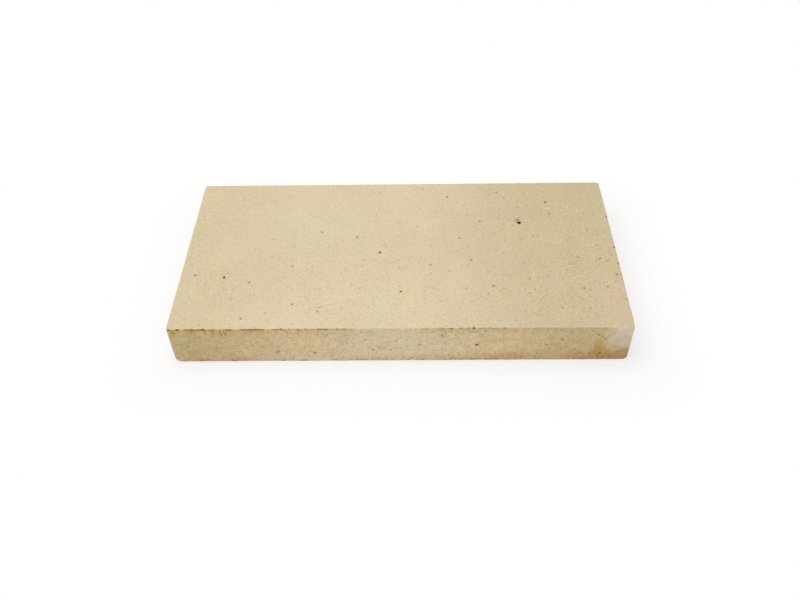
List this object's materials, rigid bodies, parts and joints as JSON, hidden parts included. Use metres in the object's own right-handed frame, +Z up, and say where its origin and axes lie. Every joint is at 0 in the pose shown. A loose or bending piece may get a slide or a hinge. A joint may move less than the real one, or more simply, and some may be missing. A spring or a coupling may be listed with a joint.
{
  "type": "refractory firebrick",
  "caption": "Thin rectangular slab of fired fireclay with worn arrises and bruised bed corners, laid flat or in mortar as a heat-proof lining.",
  "frame": {"origin": "middle of the bed, the large face that the brick lies on", "axes": "+X along the length towards the right-hand end as pictured, +Y across the width away from the viewer, +Z up through the thickness to the top face"},
  "size_m": [0.23, 0.114, 0.025],
  "materials": {
    "fireclay": "matt buff fireclay with fine dark iron specks and brown flashing on the edges"
  },
  "bodies": {
    "root": {"firebrick": "fireclay"}
  },
  "joints": []
}
